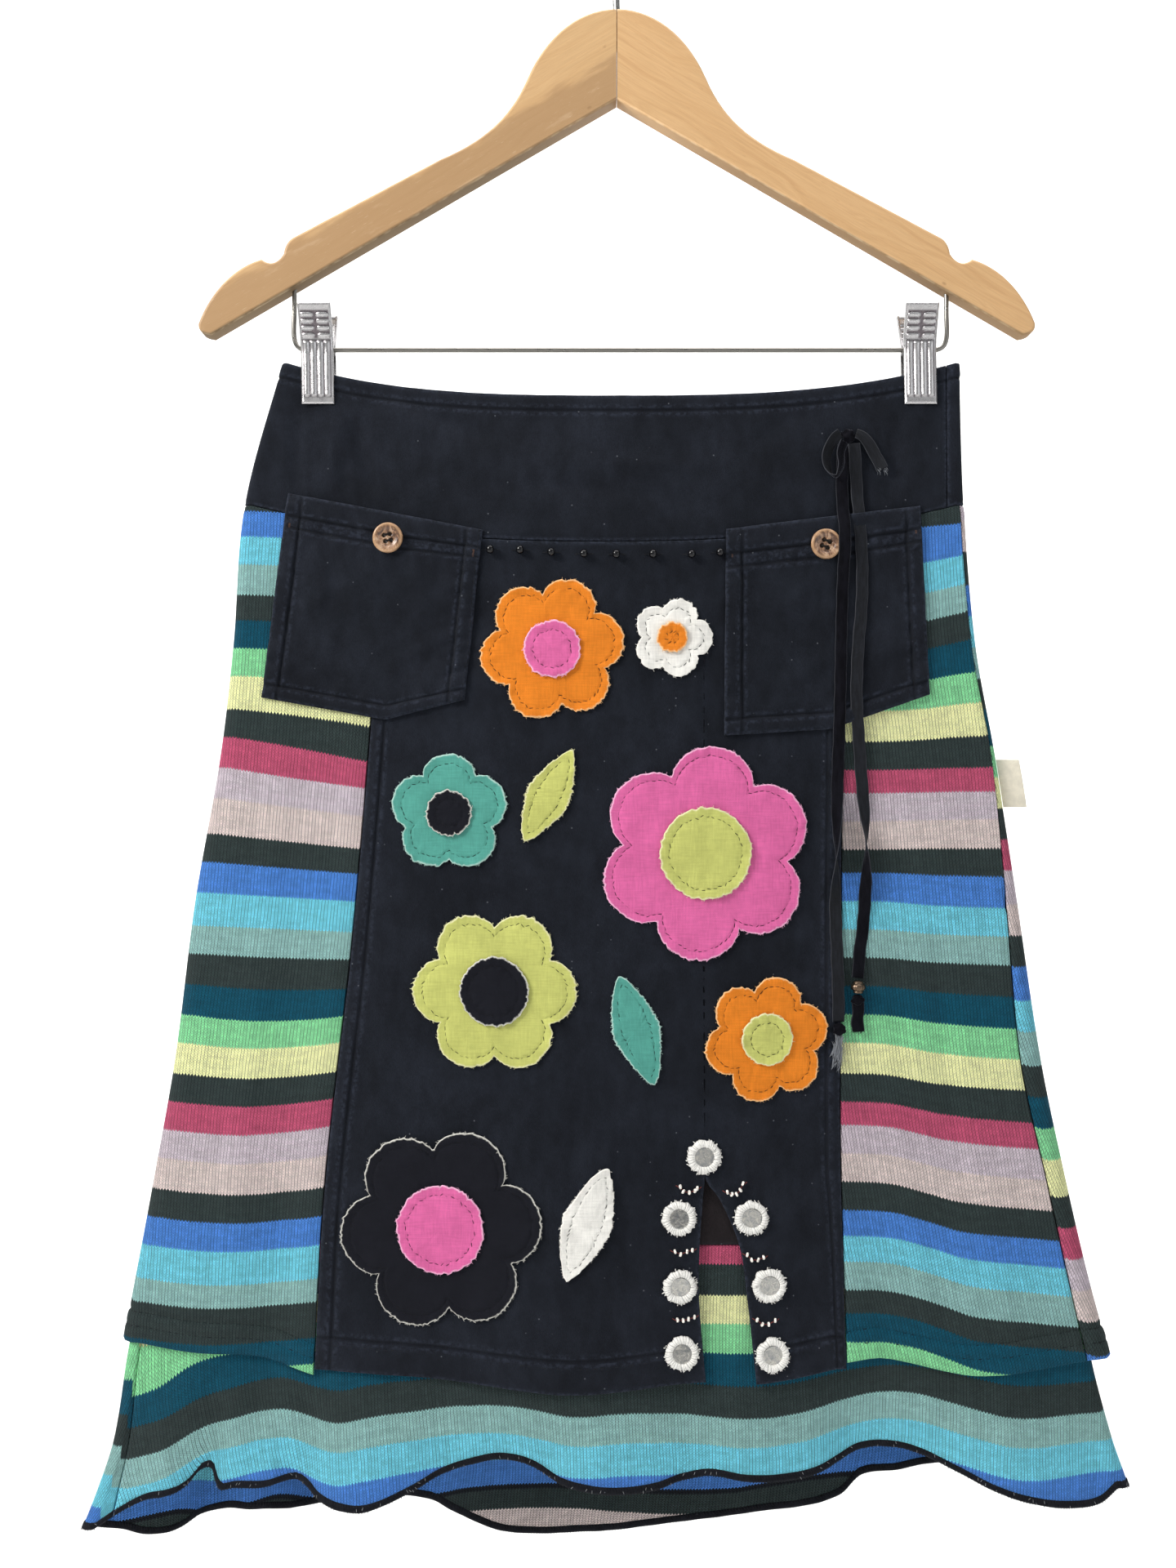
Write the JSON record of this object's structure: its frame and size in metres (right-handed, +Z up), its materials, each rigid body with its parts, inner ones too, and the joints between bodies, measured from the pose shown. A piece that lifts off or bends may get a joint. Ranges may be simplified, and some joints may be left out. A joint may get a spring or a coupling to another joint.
{
  "type": "midi skirt on clip hanger",
  "caption": "Flared patchwork midi skirt with a plain yoke, appliqué apron, pockets, striped knit sides and flounce, hanging by its waist from a wooden clip hanger.",
  "frame": {"origin": "the inside top of the hanger's hook, where it rests on a rail", "axes": "+X to the viewer's right along the hanger, +Y from the skirt's front to its back, +Z up"},
  "size_m": [0.558, 0.0631, 0.8868],
  "materials": {
    "twill": "washed cotton twill",
    "knit": "fine striped knit",
    "lining": "plain black jersey",
    "edge": "overlocked edge",
    "horn": "polished horn look",
    "glass_bead": "faceted black glass",
    "mirror_rim": "white thread rim round a small mirror",
    "cloth_orange": "jersey",
    "cloth_pink": "jersey",
    "cloth_lime": "jersey",
    "cloth_teal": "jersey",
    "cloth_white": "jersey",
    "cloth_black": "twill",
    "label": "woven tape",
    "velvet": "velvet ribbon",
    "dark_metal": "aged, polished",
    "wood": "lacquered beech",
    "steel": "bright plated"
  },
  "bodies": {
    "root": {"yoke_front": "twill", "yoke_back": "twill", "apron": "twill", "pocket_left": "twill", "pocket_right": "twill", "side_front_left": "knit", "side_front_right": "knit", "back_panel": "knit", "flounce_front": "knit", "flounce_back": "knit", "underskirt_front": "lining", "underskirt_back": "lining", "flounce_edge_front": "edge", "flounce_edge_back": "edge", "button_left": "horn", "button_right": "horn", "bead_row": "glass_bead", "mirror_1": "mirror_rim", "mirror_2": "mirror_rim", "mirror_3": "mirror_rim", "mirror_4": "mirror_rim", "mirror_5": "mirror_rim", "mirror_6": "mirror_rim", "mirror_7": "mirror_rim", "flower_orange": "cloth_orange", "flower_orange_centre": "cloth_pink", "flower_white": "cloth_white", "flower_white_centre": "cloth_orange", "flower_pink": "cloth_pink", "flower_pink_centre": "cloth_lime", "flower_teal": "cloth_teal", "flower_teal_centre": "cloth_black", "flower_lime": "cloth_lime", "flower_lime_centre": "cloth_black", "flower_amber": "cloth_orange", "flower_amber_centre": "cloth_lime", "flower_black": "cloth_black", "flower_black_centre": "cloth_pink", "leaf_lime": "cloth_lime", "leaf_teal": "cloth_teal", "leaf_white": "cloth_white", "side_label": "label", "tie_knot": "velvet", "tie_tail_left": "velvet", "tie_tail_right": "velvet", "tie_loop": "velvet", "tie_short_end": "velvet", "tie_tassel": "velvet", "tie_tab": "velvet", "tie_bead": "dark_metal", "hanger_arm_left": "wood", "hanger_arm_right": "wood", "hanger_hook": "steel", "hanger_wire": "steel", "clip_left_front": "steel", "clip_left_back": "steel", "clip_left_spring": "steel", "clip_right_front": "steel", "clip_right_back": "steel", "clip_right_spring": "steel"}
  },
  "joints": []
}
